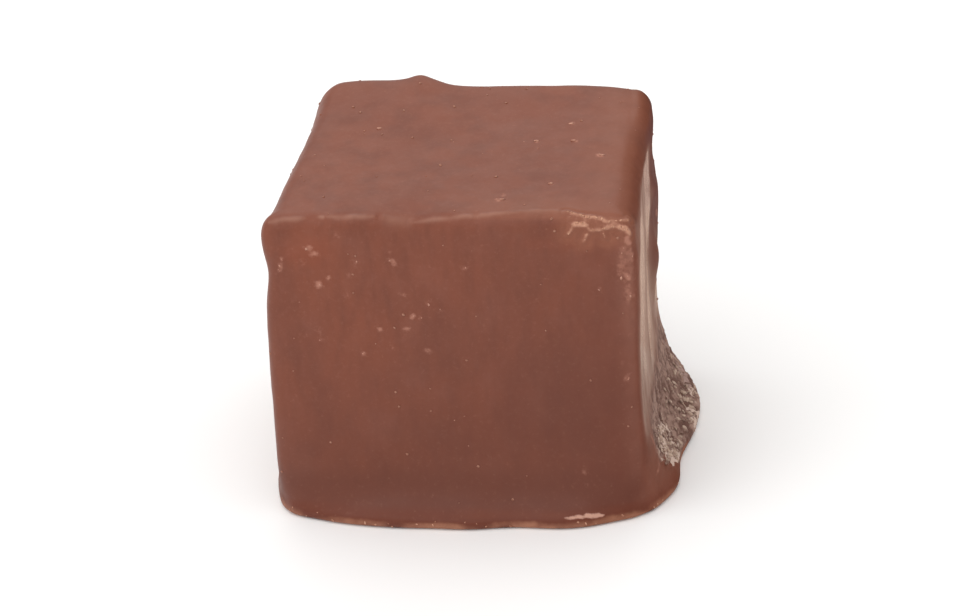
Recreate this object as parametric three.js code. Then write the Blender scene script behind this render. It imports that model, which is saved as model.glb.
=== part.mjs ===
// A chocolate-coated Turkish delight: one hand-cut block of jelly, dipped in milk chocolate and set
// down on a tray. The coating closes all round it, so the piece is one solid. It has softly rounded
// upper edges, walls that swell and lean a little, and a thin foot where the wet chocolate ran down
// and pooled on the tray. Millimetres, +Z up, front towards -Y, standing on Z = 0.

import * as THREE from 'three';
import { mergeVertices } from 'three/addons/utils/BufferGeometryUtils.js';

// Driving sizes of the coated block, without its foot.
const WIDTH = 26.2;
const DEPTH = 20.8;
const HEIGHT = 24.1;
const EDGE_RADIUS = 1.7;
const FRONT_EDGE_CRISPNESS = 2.2;

// The foot: its rim stands this thick, and the lower edge of the rim has this radius.
const RIM_THICKNESS = 0.8;
const RIM_RADIUS = 0.35;
const FOOT_TOP = 5.4;

// Steps of the surface grid.
const WIDTH_STEPS = 20;
const DEPTH_STEPS = 15;
const WALL_STEPS = 15;
const FOOT_STEPS = 6;
const RIM_STEPS = 3;
const EDGE_STEPS = 3;

const FRONT = -Math.PI / 2;
const RIGHT = 0;
const BACK = Math.PI / 2;
const LEFT = Math.PI;
const degrees = THREE.MathUtils.degToRad;
const halfWidth = WIDTH / 2;
const halfDepth = DEPTH / 2;

// How far the foot reaches past the wall, all round, and where it runs out further or less far:
// it draws in round the four corners and spreads most at the back of the right side.
// "sharpness" is how narrow a stretch of the outline each one takes.
const CORNER = Math.atan2(DEPTH, WIDTH);
const FOOT_REACH = 1.7;
const FOOT_LOBES = [
  { towards: FRONT, reach: 0.12, sharpness: 12 },
  { towards: -CORNER, reach: -1.55, sharpness: 95 },
  { towards: RIGHT - degrees(26), reach: 0.35, sharpness: 60 },
  { towards: RIGHT + degrees(14), reach: 1.0, sharpness: 18 },
  { towards: CORNER, reach: -1.1, sharpness: 60 },
  { towards: BACK - degrees(26), reach: 0.8, sharpness: 9 },
  { towards: BACK + degrees(30), reach: 0.6, sharpness: 8 },
  { towards: LEFT - CORNER, reach: -0.8, sharpness: 50 },
  { towards: LEFT, reach: -1.05, sharpness: 6 },
  { towards: LEFT + degrees(24), reach: -0.2, sharpness: 60 },
  { towards: LEFT + CORNER, reach: -1.5, sharpness: 70 },
];

// How quickly the foot thins as it climbs the wall: short on the left, long on the right.
const FOOT_CLIMB = 1.6;
const FOOT_CLIMB_LOBES = [
  { towards: RIGHT, reach: 0.3, sharpness: 6 },
  { towards: CORNER, reach: -0.6, sharpness: 20 },
  { towards: LEFT + degrees(20), reach: -0.7, sharpness: 4 },
  { towards: FRONT, reach: -0.4, sharpness: 4 },
];

// Local swellings (and, below zero, hollows) of the coating, in the block's own coordinates.
const SWELLS = [
  { at: [-13.0, -10.0, 21.9], height: 0.38, spread: 1.3 }, // bead on the front left corner
  { at: [-13.1, -10.0, 19.5], height: -0.4, spread: 1.3 }, // and the hollow under it
  { at: [-13.1, -9.0, 11.5], height: 0.22, spread: 5.0 },
  { at: [-13.1, 3.0, 16.0], height: -0.45, spread: 5.5 },
  { at: [-13.1, 5.0, 6.0], height: 0.4, spread: 4.0 },
  { at: [-2.4, -10.4, 24.1], height: -0.35, spread: 1.7 }, // dip in the top front edge
  { at: [5.5, -10.4, 24.1], height: 0.25, spread: 3.0 },
  { at: [0.0, -10.4, 15.0], height: 0.3, spread: 7.0 },
  { at: [3.0, -10.4, 5.0], height: -0.3, spread: 4.5 },
  { at: [-4.4, 10.4, 24.1], height: 0.6, spread: 1.1 }, // drip peak on the top back edge
  { at: [-8.0, 9.4, 24.1], height: 0.5, spread: 4.0 },
  { at: [-2.0, 10.4, 12.0], height: 0.5, spread: 6.5 },
  { at: [8.0, 10.4, 6.5], height: -0.4, spread: 4.0 },
  { at: [13.1, 10.4, 24.1], height: -0.35, spread: 1.8 },
  { at: [13.1, 9.5, 19.9], height: -0.35, spread: 1.5 },
  { at: [13.1, 9.5, 16.0], height: 0.1, spread: 2.0 },
  { at: [13.1, 9.0, 6.6], height: -0.28, spread: 2.2 },
  { at: [13.1, 2.0, 12.0], height: -0.35, spread: 5.0 },
  { at: [2.0, 1.0, 24.1], height: -0.25, spread: 5.5 },
];

// A round-topped share of the outline, 1 in its own direction and falling away from it.
function lobesTowards(angle, lobes) {
  let sum = 0;
  for (const { towards, reach, sharpness } of lobes) {
    sum += reach * Math.exp(sharpness * (Math.cos(angle - towards) - 1));
  }
  return sum;
}

// The reach of the foot past the wall at a height, in a direction seen from above.
function footOffset(angle, z) {
  const ripple = 0.1 * Math.sin(7 * angle + 0.6) + 0.07 * Math.sin(13 * angle + 2.1);
  const reach = FOOT_REACH + lobesTowards(angle, FOOT_LOBES) + ripple;
  const climb = FOOT_CLIMB + lobesTowards(angle, FOOT_CLIMB_LOBES);
  if (z < RIM_RADIUS) {
    const rise = RIM_RADIUS - z;
    return reach - RIM_RADIUS + Math.sqrt(RIM_RADIUS ** 2 - rise ** 2);
  }
  return reach * Math.exp(-Math.max(0, z - RIM_THICKNESS) / climb);
}

// The block was not cut square: the left wall leans in, most at the back, and the right a little.
function lean(p) {
  const up = Math.max(0, p.z / HEIGHT);
  const back = (p.y + halfDepth) / DEPTH;
  const left = Math.max(0, -p.x / halfWidth);
  const right = Math.max(0, p.x / halfWidth);
  p.x += left * up ** 1.3 * (0.5 + 2.05 * back) - right * 0.05 * back;
  const behind = Math.max(0, p.y / halfDepth);
  p.y -= behind * 0.25 * up ** 1.5;
}

// Broad waves left by the chocolate as it ran and set.
function wave(p) {
  const across = Math.sin(0.46 * p.x + 1.1) * Math.sin(0.39 * p.z + 0.4);
  const along = Math.sin(0.52 * p.y + 2.3) * Math.sin(0.33 * p.z - 0.31 * p.x + 1.9);
  return 0.09 * across + 0.08 * along;
}

function swell(p) {
  let sum = 0;
  for (const { at, height, spread } of SWELLS) {
    const away = p.distanceToSquared(new THREE.Vector3(...at));
    sum += height * Math.exp(-away / (2 * spread ** 2));
  }
  return sum;
}

// How far out the coating lies along a direction from the core of a rounded edge. A plain round edge
// has the exponent 2; the edges at the front stand squarer, with a higher one.
function edgeReach(outwards, freeOfTray) {
  const facingFront = THREE.MathUtils.smoothstep(-outwards.y, 0, 0.6);
  const exponent = 2 + FRONT_EDGE_CRISPNESS * facingFront * freeOfTray;
  let sum = 0;
  for (const part of outwards.toArray()) {
    sum += Math.abs(part) ** exponent;
  }
  return EDGE_RADIUS * sum ** (-1 / exponent);
}

// Carries a point of the plain block's wall or top onto the coating.
function coat(x, y, z) {
  const plain = new THREE.Vector3(x, y, z);
  const core = new THREE.Vector3(
    THREE.MathUtils.clamp(x, EDGE_RADIUS - halfWidth, halfWidth - EDGE_RADIUS),
    THREE.MathUtils.clamp(y, EDGE_RADIUS - halfDepth, halfDepth - EDGE_RADIUS),
    Math.min(z, HEIGHT - EDGE_RADIUS),
  );
  const outwards = plain.clone().sub(core).normalize();
  const freeOfTray = THREE.MathUtils.smoothstep(z, RIM_THICKNESS, FOOT_TOP);
  const p = core.addScaledVector(outwards, edgeReach(outwards, freeOfTray));
  p.addScaledVector(outwards, (swell(p) + wave(p)) * freeOfTray);

  lean(p);
  const sideways = new THREE.Vector3(outwards.x, outwards.y, 0);
  if (sideways.length() > 0.01) {
    p.addScaledVector(sideways.normalize(), footOffset(Math.atan2(y, x), z));
  }
  return p;
}

// The underside is flat: its points fill in the outline that the foot leaves on the tray.
function underside(x, y) {
  const share = Math.max(Math.abs(x) / halfWidth, Math.abs(y) / halfDepth);
  if (share === 0) {
    return new THREE.Vector3(0, 0, 0);
  }
  const edge = coat(x / share, y / share, 0);
  return new THREE.Vector3(edge.x * share, edge.y * share, 0);
}

// Grid lines across a side of the block: even steps on the flat, then equal arcs of the edge.
function linesAcross(half, flatSteps) {
  const flat = half - EDGE_RADIUS;
  const lines = [];
  for (let i = 0; i <= flatSteps; i += 1) {
    lines.push(-flat + (2 * flat * i) / flatSteps);
  }
  for (let i = 1; i <= EDGE_STEPS; i += 1) {
    const past = flat + EDGE_RADIUS * Math.tan((Math.PI / 4) * (i / EDGE_STEPS));
    lines.push(past);
    lines.unshift(-past);
  }
  return lines;
}

// Grid lines up the wall: the rim of the foot, its climb in growing steps, the wall, the upper edge.
function linesUp() {
  const lines = [];
  for (let i = 0; i < RIM_STEPS; i += 1) {
    lines.push(RIM_RADIUS * (1 - Math.cos((Math.PI / 2) * (i / (RIM_STEPS - 1)))));
  }
  for (let i = 0; i < FOOT_STEPS; i += 1) {
    lines.push(RIM_THICKNESS + (FOOT_TOP - RIM_THICKNESS) * (i / FOOT_STEPS) ** 1.5);
  }
  const wallTop = HEIGHT - EDGE_RADIUS;
  for (let i = 0; i < WALL_STEPS; i += 1) {
    lines.push(FOOT_TOP + (wallTop - FOOT_TOP) * (i / WALL_STEPS));
  }
  for (let i = 0; i <= EDGE_STEPS; i += 1) {
    lines.push(wallTop + EDGE_RADIUS * Math.tan((Math.PI / 4) * (i / EDGE_STEPS)));
  }
  return lines;
}

// A box of one cell for each step between the grid lines, its points carried onto the coating.
function makeCoatedBlock() {
  const across = linesAcross(halfWidth, WIDTH_STEPS);
  const along = linesAcross(halfDepth, DEPTH_STEPS);
  const up = linesUp();
  const steps = [across.length - 1, along.length - 1, up.length - 1];
  const box = new THREE.BoxGeometry(...steps, ...steps);
  box.translate(steps[0] / 2, steps[1] / 2, steps[2] / 2);

  const points = box.getAttribute('position');
  for (let i = 0; i < points.count; i += 1) {
    const x = across[Math.round(points.getX(i))];
    const y = along[Math.round(points.getY(i))];
    const z = up[Math.round(points.getZ(i))];
    const p = z === 0 ? underside(x, y) : coat(x, y, z);
    points.setXYZ(i, p.x, p.y, p.z);
  }
  box.deleteAttribute('normal');
  box.deleteAttribute('uv');
  const geometry = mergeVertices(box, 1e-3);

  // The part's origin is under the middle of its outline, on the tray.
  geometry.computeBoundingBox();
  const middle = geometry.boundingBox.getCenter(new THREE.Vector3());
  geometry.translate(-middle.x, -middle.y, 0);
  geometry.computeVertexNormals();
  return geometry;
}

const milkChocolate = new THREE.MeshStandardMaterial({
  color: new THREE.Color(0x7f4c3c),
  roughness: 0.45,
  metalness: 0,
});

const coatedBlock = new THREE.Mesh(makeCoatedBlock(), milkChocolate);
coatedBlock.name = 'coated_delight';

const part = new THREE.Group();
part.add(coatedBlock);

export default part;
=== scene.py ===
# %% [markdown]
# # A chocolate-coated Turkish delight
#
# The real thing starts as a slab of set starch jelly. A knife cuts it into blocks, each block is
# dipped in tempered milk chocolate, and the wet coating slides down the walls, pools in a thin foot
# on the tray and sets. So a finished piece has a soft top, walls that bulge a little, edges where
# the coat is thinnest, and a foot with a sharp, uneven rim.
#
# The solid block already exists in the frame at its true size. This lesson gives it its skin: a
# smooth dense surface, the small relief of set chocolate, the crumbs and flakes that stick to it,
# and the finish of each. Everything is in metres, so a helper turns millimetres into metres.

# %% Load the frame
import math
import random

import bmesh
import bpy
import numpy as np
from mathutils import Matrix, Vector, noise
from mathutils.bvhtree import BVHTree
from mathutils.geometry import interpolate_bezier
from mathutils.kdtree import KDTree


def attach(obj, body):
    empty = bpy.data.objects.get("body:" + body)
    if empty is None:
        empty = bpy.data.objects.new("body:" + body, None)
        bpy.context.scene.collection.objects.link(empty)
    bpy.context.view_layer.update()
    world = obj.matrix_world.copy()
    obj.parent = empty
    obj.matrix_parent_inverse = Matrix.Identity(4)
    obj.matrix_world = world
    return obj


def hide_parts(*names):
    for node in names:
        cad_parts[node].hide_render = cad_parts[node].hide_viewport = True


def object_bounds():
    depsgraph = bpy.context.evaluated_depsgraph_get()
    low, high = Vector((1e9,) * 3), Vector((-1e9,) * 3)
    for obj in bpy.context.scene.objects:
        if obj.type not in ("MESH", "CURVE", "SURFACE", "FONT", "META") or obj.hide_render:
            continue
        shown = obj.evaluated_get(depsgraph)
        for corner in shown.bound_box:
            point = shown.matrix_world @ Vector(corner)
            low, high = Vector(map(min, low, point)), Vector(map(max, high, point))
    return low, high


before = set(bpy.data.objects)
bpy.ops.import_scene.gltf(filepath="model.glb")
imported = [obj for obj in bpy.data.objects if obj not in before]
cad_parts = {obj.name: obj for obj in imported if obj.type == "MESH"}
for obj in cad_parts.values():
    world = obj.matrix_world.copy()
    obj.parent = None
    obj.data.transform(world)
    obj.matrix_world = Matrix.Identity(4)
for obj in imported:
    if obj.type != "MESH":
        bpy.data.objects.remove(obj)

MM = 0.001
cad_low, cad_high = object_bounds()
width_mm, depth_mm, height_mm = ((cad_high - cad_low) / MM)
print(f"block {width_mm:.1f} x {depth_mm:.1f} x {height_mm:.1f} mm")

# %% [markdown]
# ## The studio
#
# A small sweet is shot from close by with a long lens, looking down on it. A long lens keeps the
# walls nearly parallel, and looking down by 30 degrees shows the whole top. The camera is rolled
# until the long front edges run level across the view.
#
# The camera's turn could be built from angles, but a roll is easier to get right from three
# directions: where it looks, what is level, and what is then left for up.

# %% Aim the camera
scene = bpy.context.scene

VIEW_AZIMUTH = math.radians(7.62)
VIEW_ELEVATION = math.radians(30.18)
VIEW_DISTANCE = 0.3898
LENS_MM = 205
SENSOR_MM = 36
AIM_HEIGHT = 0.0108


def aim_camera():
    data = bpy.data.cameras.new("studio_camera")
    data.lens = LENS_MM
    data.sensor_width = SENSOR_MM
    data.clip_start = 0.01
    data.clip_end = 50
    camera = bpy.data.objects.new("studio_camera", data)
    scene.collection.objects.link(camera)

    flat = math.cos(VIEW_ELEVATION)
    back = Vector((math.sin(VIEW_AZIMUTH) * flat, -math.cos(VIEW_AZIMUTH) * flat, math.sin(VIEW_ELEVATION)))
    up = back.cross(Vector((1, 0, 0))).normalized()
    right = up.cross(back).normalized()
    turn = Matrix((right, up, back)).transposed().to_4x4()
    camera.matrix_world = Matrix.Translation(Vector((0, 0, AIM_HEIGHT)) + back * VIEW_DISTANCE) @ turn
    scene.camera = camera
    return camera


camera = aim_camera()
print("camera at", [round(c, 3) for c in camera.matrix_world.translation])

# %% [markdown]
# ## A small kit for finishes
#
# Every finish below is a tree of shader nodes. Blender's own names for making one are long, so two
# short helpers say the same thing: `node` adds one and sets its sockets, and `ramp` turns a grey
# pattern into bands. Patterns read Object coordinates, which are metres here, so the helper
# `grains` takes the size of one lump in millimetres.


# %% Start a finish and add nodes
def new_finish(name):
    material = bpy.data.materials.new(name)
    material.use_nodes = True
    tree = material.node_tree
    shader = tree.nodes["Principled BSDF"]
    return material, tree, shader


def node(tree, kind, inputs=None, **settings):
    made = tree.nodes.new(kind)
    for key, value in settings.items():
        setattr(made, key, value)
    for key, value in (inputs or {}).items():
        socket = made.inputs[key]
        if isinstance(value, bpy.types.NodeSocket):
            tree.links.new(value, socket)
        else:
            socket.default_value = value
    return made


print("a node can be added")


# %% Patterns and ramps
def grains(tree, size_mm, detail=3.0, roughness=0.5, stretch=(1, 1, 1), shift=(0, 0, 0)):
    """A noise pattern whose lumps are about size_mm across, longer along an axis where stretch is over 1."""
    place = node(tree, "ShaderNodeTexCoord").outputs["Object"]
    mapping = node(tree, "ShaderNodeMapping", {"Vector": place})
    mapping.inputs["Scale"].default_value = tuple(1 / s for s in stretch)
    mapping.inputs["Location"].default_value = tuple(s * MM for s in shift)
    return node(
        tree,
        "ShaderNodeTexNoise",
        {"Vector": mapping.outputs[0], "Scale": 1 / (size_mm * MM), "Detail": detail, "Roughness": roughness},
    ).outputs["Fac"]


def ramp(tree, value, low, high, out_low=0.0, out_high=1.0):
    return node(
        tree,
        "ShaderNodeMapRange",
        {"Value": value, "From Min": low, "From Max": high, "To Min": out_low, "To Max": out_high},
        interpolation_type="SMOOTHSTEP",
    ).outputs["Result"]


print("patterns ready")


# %% Colours, sums and masks
def mix_colour(tree, share, first, second):
    mixed = node(tree, "ShaderNodeMix", {0: share, 6: first, 7: second}, data_type="RGBA")
    return mixed.outputs[2]


def calculate(tree, operation, a, b=0.5, limit=False):
    return node(tree, "ShaderNodeMath", {0: a, 1: b}, operation=operation, use_clamp=limit).outputs[0]


def colour(r, g, b):
    return (r, g, b, 1.0)


def read_mask(tree, name):
    return node(tree, "ShaderNodeAttribute", attribute_name=name).outputs["Fac"]


print("node kit ready")

# %% [markdown]
# ## Light
#
# Chocolate is a dull mirror: most of what we read as its shape is the broad pale sheen that the
# room lays on its top and along its edges. So the light is a pale room: bright from overhead down
# to half height, dim along the horizon, which keeps the rounded right edge rich and dark, and
# brightest towards the front left, where a window would be. Three wide soft panels add the rest: a
# slightly warm one overhead, another behind, which is what the top mirrors, and a white one at the
# left. Small hard lamps would put hot spots on the coat that look like plastic.
#
# The room is a world shader: one ramp climbs with height, and another grows towards the window.
# Seen directly it is plain white, so a low view has no dull band above the floor.

# %% A pale room
WINDOW = (-0.52, -0.62, 0.59)


def light_room(horizon, overhead, window):
    world = bpy.data.worlds.new("pale_room")
    world.use_nodes = True
    tree = world.node_tree
    background = tree.nodes["Background"]
    background.inputs["Color"].default_value = colour(1.0, 0.995, 0.99)
    direction = node(tree, "ShaderNodeTexCoord").outputs["Generated"]
    upwards = node(tree, "ShaderNodeSeparateXYZ", {0: direction}).outputs["Z"]
    towards = node(tree, "ShaderNodeVectorMath", {0: direction, 1: WINDOW}, operation="DOT_PRODUCT")
    walls = ramp(tree, upwards, 0.08, 0.50, horizon, overhead)
    glow = ramp(tree, towards.outputs["Value"], 0.2, 0.95, 0.0, window)
    lit = calculate(tree, "ADD", walls, glow)
    seen = node(tree, "ShaderNodeLightPath").outputs["Is Camera Ray"]
    tree.links.new(calculate(tree, "MAXIMUM", lit, seen), background.inputs["Strength"])
    scene.world = world


light_room(horizon=0.2, overhead=0.90, window=0.6)
print("room:", scene.world.name)

# %% Hang the panels
WARM_WHITE = (1.0, 0.97, 0.91)


def hang_panel(name, place, size, power, tint=(1, 1, 1)):
    data = bpy.data.lights.new(name, "AREA")
    data.shape = "RECTANGLE"
    data.size, data.size_y = size
    data.energy = power
    data.color = tint
    panel = bpy.data.objects.new(name, data)
    panel.location = place
    panel.rotation_euler = (Vector((0, 0, 0.01)) - Vector(place)).to_track_quat("-Z", "Y").to_euler()
    panel.visible_camera = False
    scene.collection.objects.link(panel)


hang_panel("overhead_panel", (-0.06, 0.04, 0.50), (0.4, 0.4), 0.28, WARM_WHITE)
hang_panel("back_panel", (-0.05, 0.35, 0.22), (0.30, 0.20), 0.155, WARM_WHITE)
hang_panel("left_panel", (-0.24, -0.20, 0.22), (0.20, 0.20), 0.08)

scene.view_settings.view_transform = "Standard"
scene.view_settings.look = "None"

# %% [markdown]
# ## The floor and the cards
#
# The floor is a plain white sheet, far wider than the view, so that its edge never shows.
#
# Seen nearly edge-on, the right wall would mirror the white floor and turn grey all over. Brown
# food is often lit with coloured cards beside it for that reason. Four tan cards lie in a row close
# to the wall and warm the streak that mirrors them. A dark card beyond them and another that stands
# behind them keep the rest of the wall deep. Painting the wall instead would look wrong from every
# other side. Only the sheen sees the cards: they cast no shadow and never show.

# %% Lay the floor
FLOOR_HALF = 6.0


def lay_sheet(name, corners, first, second):
    mesh = bpy.data.meshes.new(name)
    mesh.from_pydata(corners, [], [(0, 1, 2, 3)])
    sheet = bpy.data.objects.new(name, mesh)
    scene.collection.objects.link(sheet)
    material, tree, shader = new_finish(name + "_finish")
    cloudy = ramp(tree, grains(tree, 60, detail=2), 0.35, 0.65)
    tree.links.new(mix_colour(tree, cloudy, first, second), shader.inputs["Base Color"])
    shader.inputs["Roughness"].default_value = 0.9
    shader.inputs["Specular IOR Level"].default_value = 0.1
    mesh.materials.append(material)
    return sheet


floor_corners = [(sx * FLOOR_HALF, sy * FLOOR_HALF, 0) for sx, sy in ((-1, -1), (1, -1), (1, 1), (-1, 1))]
lay_sheet("floor_sheet", floor_corners, colour(0.94, 0.94, 0.94), colour(0.96, 0.96, 0.96))
print(f"floor {2 * FLOOR_HALF:.0f} m across")

# %% Lay the cards
CARD_LIFT = 0.0002
TAN_LEFT, TAN_RIGHT = 0.008, 0.036
DARK_RIGHT = 0.090
CARD_FRONT, CARD_START, CARD_NEAR, CARD_FAR, CARD_BACK = -0.020, 0.0, 0.012, 0.033, 0.045
CARD_TOP = 0.055
UPRIGHT_LEFT = 0.014


def lay_card(name, corners, tone):
    """A card that only the sheen sees."""
    card = lay_sheet(name, corners, colour(*tone), colour(*(0.9 * t for t in tone)))
    card.visible_camera = False
    card.visible_diffuse = False
    card.visible_shadow = False
    card.visible_transmission = False


def flat_corners(left, right, front, back):
    return [
        (left, front, CARD_LIFT), (right, front, CARD_LIFT),
        (right, back, CARD_LIFT), (left, back, CARD_LIFT),
    ]


upright_corners = [
    (UPRIGHT_LEFT, CARD_BACK, CARD_LIFT), (DARK_RIGHT, CARD_BACK, CARD_LIFT),
    (DARK_RIGHT, CARD_BACK, CARD_TOP), (UPRIGHT_LEFT, CARD_BACK, CARD_TOP),
]
lay_card("front_card", flat_corners(TAN_LEFT, TAN_RIGHT, CARD_FRONT, CARD_START), (0.50, 0.31, 0.25))
lay_card("near_card", flat_corners(TAN_LEFT, TAN_RIGHT, CARD_START, CARD_NEAR), (1.0, 0.84, 0.71))
lay_card("tan_card", flat_corners(TAN_LEFT, TAN_RIGHT, CARD_NEAR, CARD_FAR), (0.88, 0.68, 0.55))
lay_card("far_card", flat_corners(TAN_LEFT, TAN_RIGHT, CARD_FAR, CARD_BACK), (0.76, 0.58, 0.49))
lay_card("dark_card", flat_corners(TAN_RIGHT, DARK_RIGHT, CARD_FRONT, CARD_BACK), (0.22, 0.10, 0.10))
lay_card("upright_card", upright_corners, (0.15, 0.075, 0.05))

# %% [markdown]
# ## The coat: a smooth dense skin
#
# The frame's solid is faceted, with cells about a millimetre wide, and set chocolate has no
# facets. The plain way to smooth it is a subdivision surface: pair the triangles back into
# four-sided cells, then let each round of Catmull-Clark cut every cell in four and round it. Two
# rounds give cells of about 0.3 mm, fine enough for broad relief and still light to handle.
#
# Sculpting by hand would do as well, but could not be repeated. Here each bump is a formula, so
# the same script always gives the same sweet.

# %% Copy the solid and make it smooth
SMOOTHING_ROUNDS = 2


def smooth_copy(source, name):
    cells = bmesh.new()
    cells.from_mesh(source.data)
    bmesh.ops.remove_doubles(cells, verts=cells.verts, dist=0.001 * MM)
    bmesh.ops.join_triangles(
        cells, faces=cells.faces, angle_face_threshold=math.pi, angle_shape_threshold=math.pi
    )
    mesh = bpy.data.meshes.new(name)
    cells.to_mesh(mesh)
    cells.free()
    copy = bpy.data.objects.new(name, mesh)
    scene.collection.objects.link(copy)

    subdivision = copy.modifiers.new("smooth", "SUBSURF")
    subdivision.levels = SMOOTHING_ROUNDS
    subdivision.render_levels = SMOOTHING_ROUNDS
    settled = copy.evaluated_get(bpy.context.evaluated_depsgraph_get())
    dense = bpy.data.meshes.new_from_object(settled)
    copy.modifiers.clear()
    copy.data = dense
    dense.name = name
    return copy


coat = smooth_copy(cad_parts["coated_delight"], "chocolate_coat")
print("coat has", len(coat.data.vertices), "points")

# %% [markdown]
# ## Marks on the coat
#
# Some marks run along a line: the thin ridge where the coat drew back from the top front edge, the
# cracks where its right end was knocked, the bruise that runs down from them, the pale strip that
# lifted off the foot, the bloom on the torn flare, and the crease where the front wall meets the
# flare. Others are dots, where sweets rubbed together.
#
# Painting them on by hand could not be repeated. Here a mark is a few points in millimetres, with a
# breadth and a paleness. The points are joined by a smooth curve and laid on the skin by looking
# for its nearest place, and a little seeded noise pushes the curve sideways so that it wanders as a
# real crack does.

# %% Helpers to lay a line on the skin
# Unseeded, the noise for a sideways push starts from the clock and differs from run to run.
NOISE_SEED = 5
noise.seed_set(NOISE_SEED)


def skin_of(mesh):
    """A search tree of the mesh, in millimetres."""
    places = [v.co / MM for v in mesh.vertices]
    return BVHTree.FromPolygons(places, [tuple(p.vertices) for p in mesh.polygons])


def smooth_line(points, spacing=0.08):
    """Places along a smooth curve through the points, about that far apart."""
    points = [Vector(p) for p in points]
    ends = [2 * points[0] - points[1], *points, 2 * points[-1] - points[-2]]
    line = []
    for before, start, end, after in zip(ends, ends[1:], ends[2:], ends[3:]):
        steps = max(2, round((end - start).length / spacing))
        leave = start + (end - before) / 6
        arrive = end - (after - start) / 6
        line += interpolate_bezier(start, leave, arrive, end, steps + 1)[:-1]
    return line + [points[-1]]


def lay_line(points, wander=0.0, wave=0.8, seed=0):
    """A line on the skin through the points, pushed sideways by as much as wander."""
    laid = []
    for place in smooth_line(points):
        push = noise.noise_vector(place / wave + Vector((seed, 0, 0))) * wander
        laid.append(skin.find_nearest(place + push)[0])
    return laid


skin = skin_of(coat.data)
print("skin ready")

# %% A mark and how pale it makes the skin
END_STRENGTH = 0.6
FADE_RATE = 2.0


def lay_marks(marks, wander, wave, seed):
    """Dots along each mark, as place, breadth and paleness. A mark fades and narrows at its ends."""
    dots = []
    for number, (points, breadth, paleness) in enumerate(marks):
        line = lay_line(points, wander, wave, seed + number)
        for step, dot in enumerate(line):
            from_end = min(step, len(line) - 1 - step) / len(line)
            strength = min(1, END_STRENGTH + FADE_RATE * from_end)
            dots.append((dot, breadth * strength, paleness * strength))
    return dots


def places_of(dots):
    return [dot for dot, _, _ in dots]


def paleness_at(places, dots):
    """How pale the dots make each place: the strongest of them counts."""
    pale = np.zeros(len(places))
    for dot, breadth, paleness in dots:
        away = ((places - np.array(dot)) ** 2).sum(axis=1)
        pale = np.maximum(pale, paleness * np.exp(-away / breadth ** 2))
    return pale


print("marks can be laid")

# %% The ridge and the cracks
RIDGE = [
    ([(-12.8, -10.5, 23.7), (-11.7, -10.4, 23.9), (-10.4, -10.3, 24.0)], 0.20, 0.60),
    ([(-9.4, -10.2, 24.0), (-9.0, -10.3, 24.0)], 0.14, 0.90),
    ([(-8.8, -10.3, 24.0), (-7.2, -10.3, 24.0), (-5.6, -10.2, 24.0)], 0.19, 0.60),
    ([(-4.9, -10.2, 23.9), (-4.1, -10.2, 23.8), (-2.9, -10.3, 23.7)], 0.45, 0.38),
    ([(-2.9, -10.4, 23.7), (-0.9, -10.3, 23.9), (1.7, -10.3, 24.1), (4.4, -10.1, 24.2)], 0.17, 0.60),
    ([(4.4, -10.1, 24.2), (5.6, -10.0, 24.3), (7.7, -10.0, 24.2)], 0.24, 0.42),
]
CRACKS = [
    ([(7.6, -10.0, 24.2), (8.9, -10.3, 24.1), (10.1, -10.4, 23.9), (11.2, -10.5, 23.8)], 0.20, 0.55),
    ([(11.2, -10.5, 23.8), (11.7, -10.3, 23.8), (12.0, -9.9, 23.8)], 0.16, 0.45),
    ([(8.1, -10.7, 23.7), (9.1, -10.7, 23.7)], 0.21, 0.85),
    ([(9.1, -10.75, 23.6), (9.3, -10.8, 23.3), (10.2, -10.8, 23.3)], 0.15, 0.60),
    ([(10.2, -10.8, 23.4), (11.0, -10.7, 23.5)], 0.20, 0.60),
    ([(11.0, -10.7, 23.5), (11.6, -10.6, 23.4), (12.0, -10.5, 22.7)], 0.22, 0.85),
    ([(10.7, -10.5, 23.8), (11.1, -10.6, 23.6)], 0.30, 0.35),
    ([(8.0, -10.4, 24.0), (9.8, -10.6, 23.7), (11.6, -10.5, 23.5)], 0.50, 0.20),
    ([(8.1, -10.8, 23.5), (7.8, -10.9, 23.0)], 0.13, 0.45),
    ([(9.1, -10.8, 23.0), (8.8, -10.8, 22.4)], 0.15, 0.50),
    ([(10.2, -10.8, 23.1), (10.3, -10.8, 22.6)], 0.11, 0.40),
]
print("ridge in", len(RIDGE), "marks, cracks in", len(CRACKS))

# %% The bruise, the strip, the bloom and the crease
BRUISE = [
    ([(11.8, -10.6, 22.6), (11.9, -10.6, 22.1)], 0.25, 0.80),
    ([(12.0, -10.6, 21.8), (12.0, -10.6, 20.7)], 0.26, 0.45),
    ([(11.5, -10.7, 22.0), (11.3, -10.8, 21.0)], 0.30, 0.38),
    ([(11.5, -10.7, 21.2), (11.2, -10.8, 19.6)], 0.42, 0.38),
    ([(11.6, -10.7, 19.8), (11.7, -10.7, 19.3)], 0.21, 0.70),
    ([(11.7, -10.7, 19.0), (11.8, -10.7, 17.6)], 0.34, 0.36),
    ([(11.8, -10.6, 22.4), (11.8, -10.6, 20.4), (11.7, -10.7, 18.8)], 0.60, 0.24),
]
STRIP = [
    ([(6.5, -12.2, 0.86), (7.2, -12.1, 0.82), (7.8, -12.1, 0.90)], 0.17, 0.90),
    ([(7.3, -12.1, 0.92), (7.9, -12.0, 0.82)], 0.19, 0.90),
    ([(7.6, -12.0, 0.84), (8.5, -11.9, 0.92), (9.3, -11.8, 0.84)], 0.21, 0.95),
]
BLOOM = [
    ([(12.5, 6.4, 4.4), (12.6, 7.3, 3.0), (13.0, 7.7, 1.8)], 0.35, 0.85),
    ([(13.0, 7.7, 1.8), (13.9, 5.7, 1.4), (14.4, 4.0, 1.2)], 0.50, 1.00),
    ([(12.6, 0.5, 4.6), (12.5, 2.4, 5.2)], 0.60, 0.35),
]
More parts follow.
